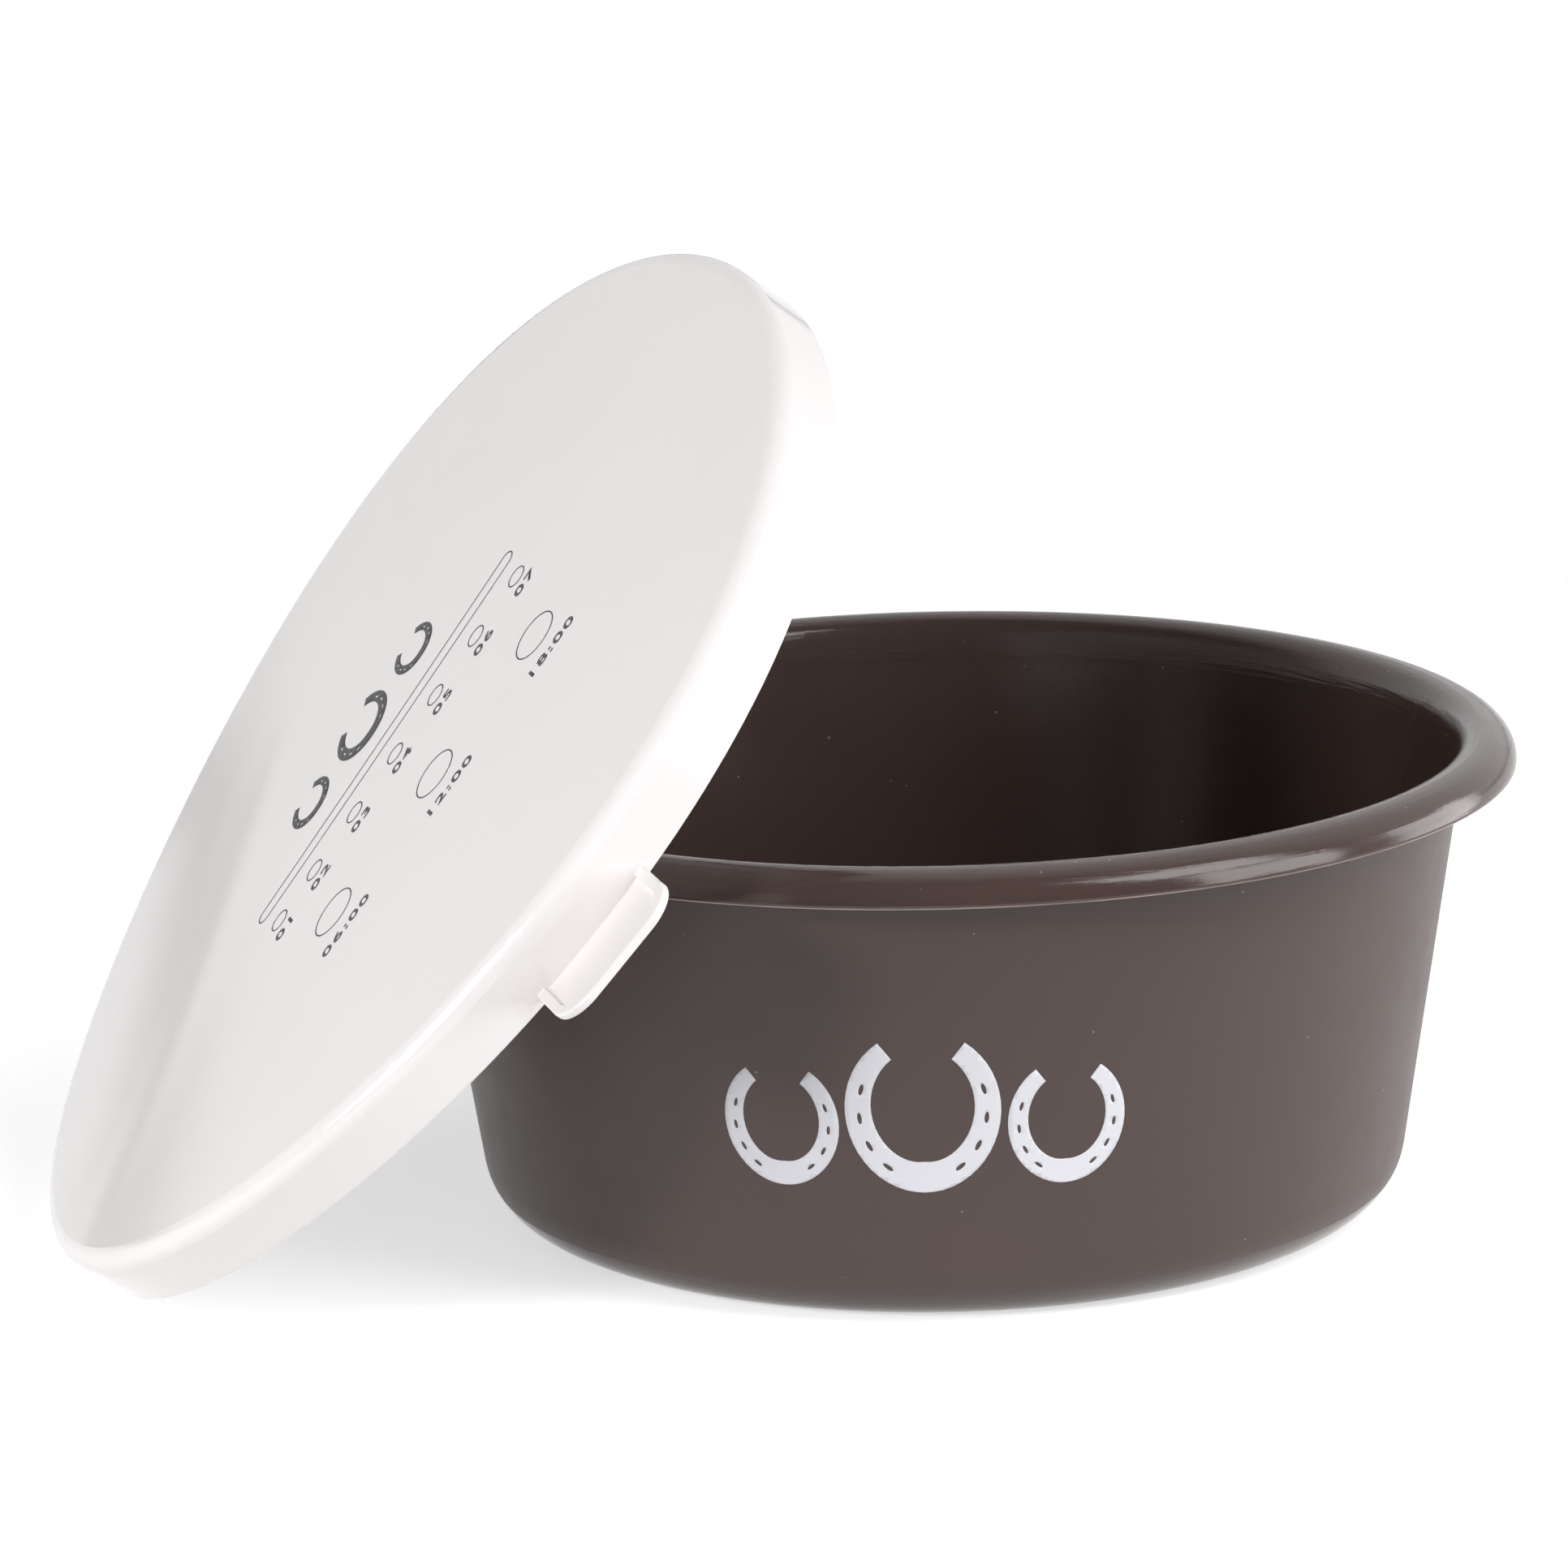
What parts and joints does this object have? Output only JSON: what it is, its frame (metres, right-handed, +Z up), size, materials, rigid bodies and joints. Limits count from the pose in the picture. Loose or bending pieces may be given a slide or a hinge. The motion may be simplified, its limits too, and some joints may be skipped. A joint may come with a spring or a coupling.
{
  "type": "feed bowl",
  "caption": "Round flared feed bowl with a turned-over rim; its soft lid with a snap skirt and pull tab is off and leans on the rim.",
  "frame": {"origin": "centre of the bowl's flat base, on the floor it stands on, which is also the floor the lid's edge stands on", "axes": "+Z up along the bowl's axis, -Y towards the printed side of the bowl, -X towards the leaning lid"},
  "size_m": [0.3827, 0.3585, 0.2498],
  "materials": {
    "bowl_plastic": "dark brown moulded polypropylene, satin wall and glossier rim and inside",
    "lid_plastic": "soft white moulded polyethylene, smooth with a low sheen"
  },
  "bodies": {
    "bowl": {"bowl": "bowl_plastic"},
    "lid": {"lid": "lid_plastic"}
  },
  "joints": [
    {"name": "lid_lift", "type": "slide", "parent": "bowl", "child": "lid", "axis": [-0.7601, -0.2237, 0.6101], "range_m": [0, 0.25]}
  ]
}
